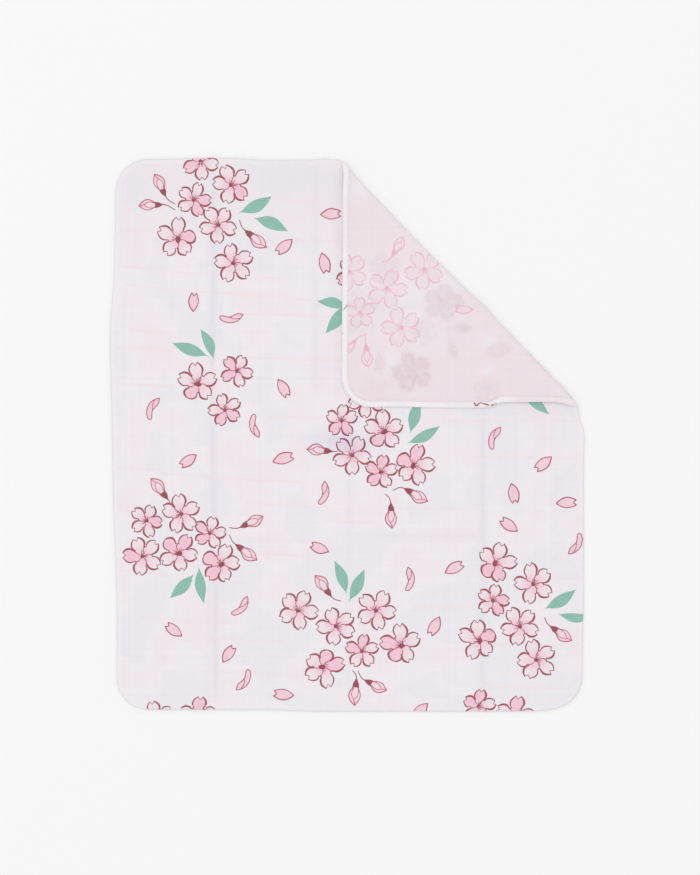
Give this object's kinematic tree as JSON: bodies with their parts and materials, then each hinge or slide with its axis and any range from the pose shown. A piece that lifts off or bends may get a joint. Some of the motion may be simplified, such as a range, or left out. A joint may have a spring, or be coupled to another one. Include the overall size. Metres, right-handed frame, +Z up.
{
  "type": "folded handkerchief",
  "caption": "Soft gauze handkerchief lying flat with its printed face up, the top right corner folded over onto the face, and a narrow turned hem.",
  "frame": {"origin": "on the surface that the cloth lies on, under the middle of the laid cloth", "axes": "+X along the short edges towards the right, +Y along the long edges towards the top, where the right corner is folded over, +Z up from the surface"},
  "size_m": [0.291, 0.34, 0.0052],
  "materials": {
    "gauze": "soft matt cotton gauze, near white with a faint pink cast and a pink blossom print"
  },
  "bodies": {
    "root": {"cloth": "gauze"}
  },
  "joints": []
}
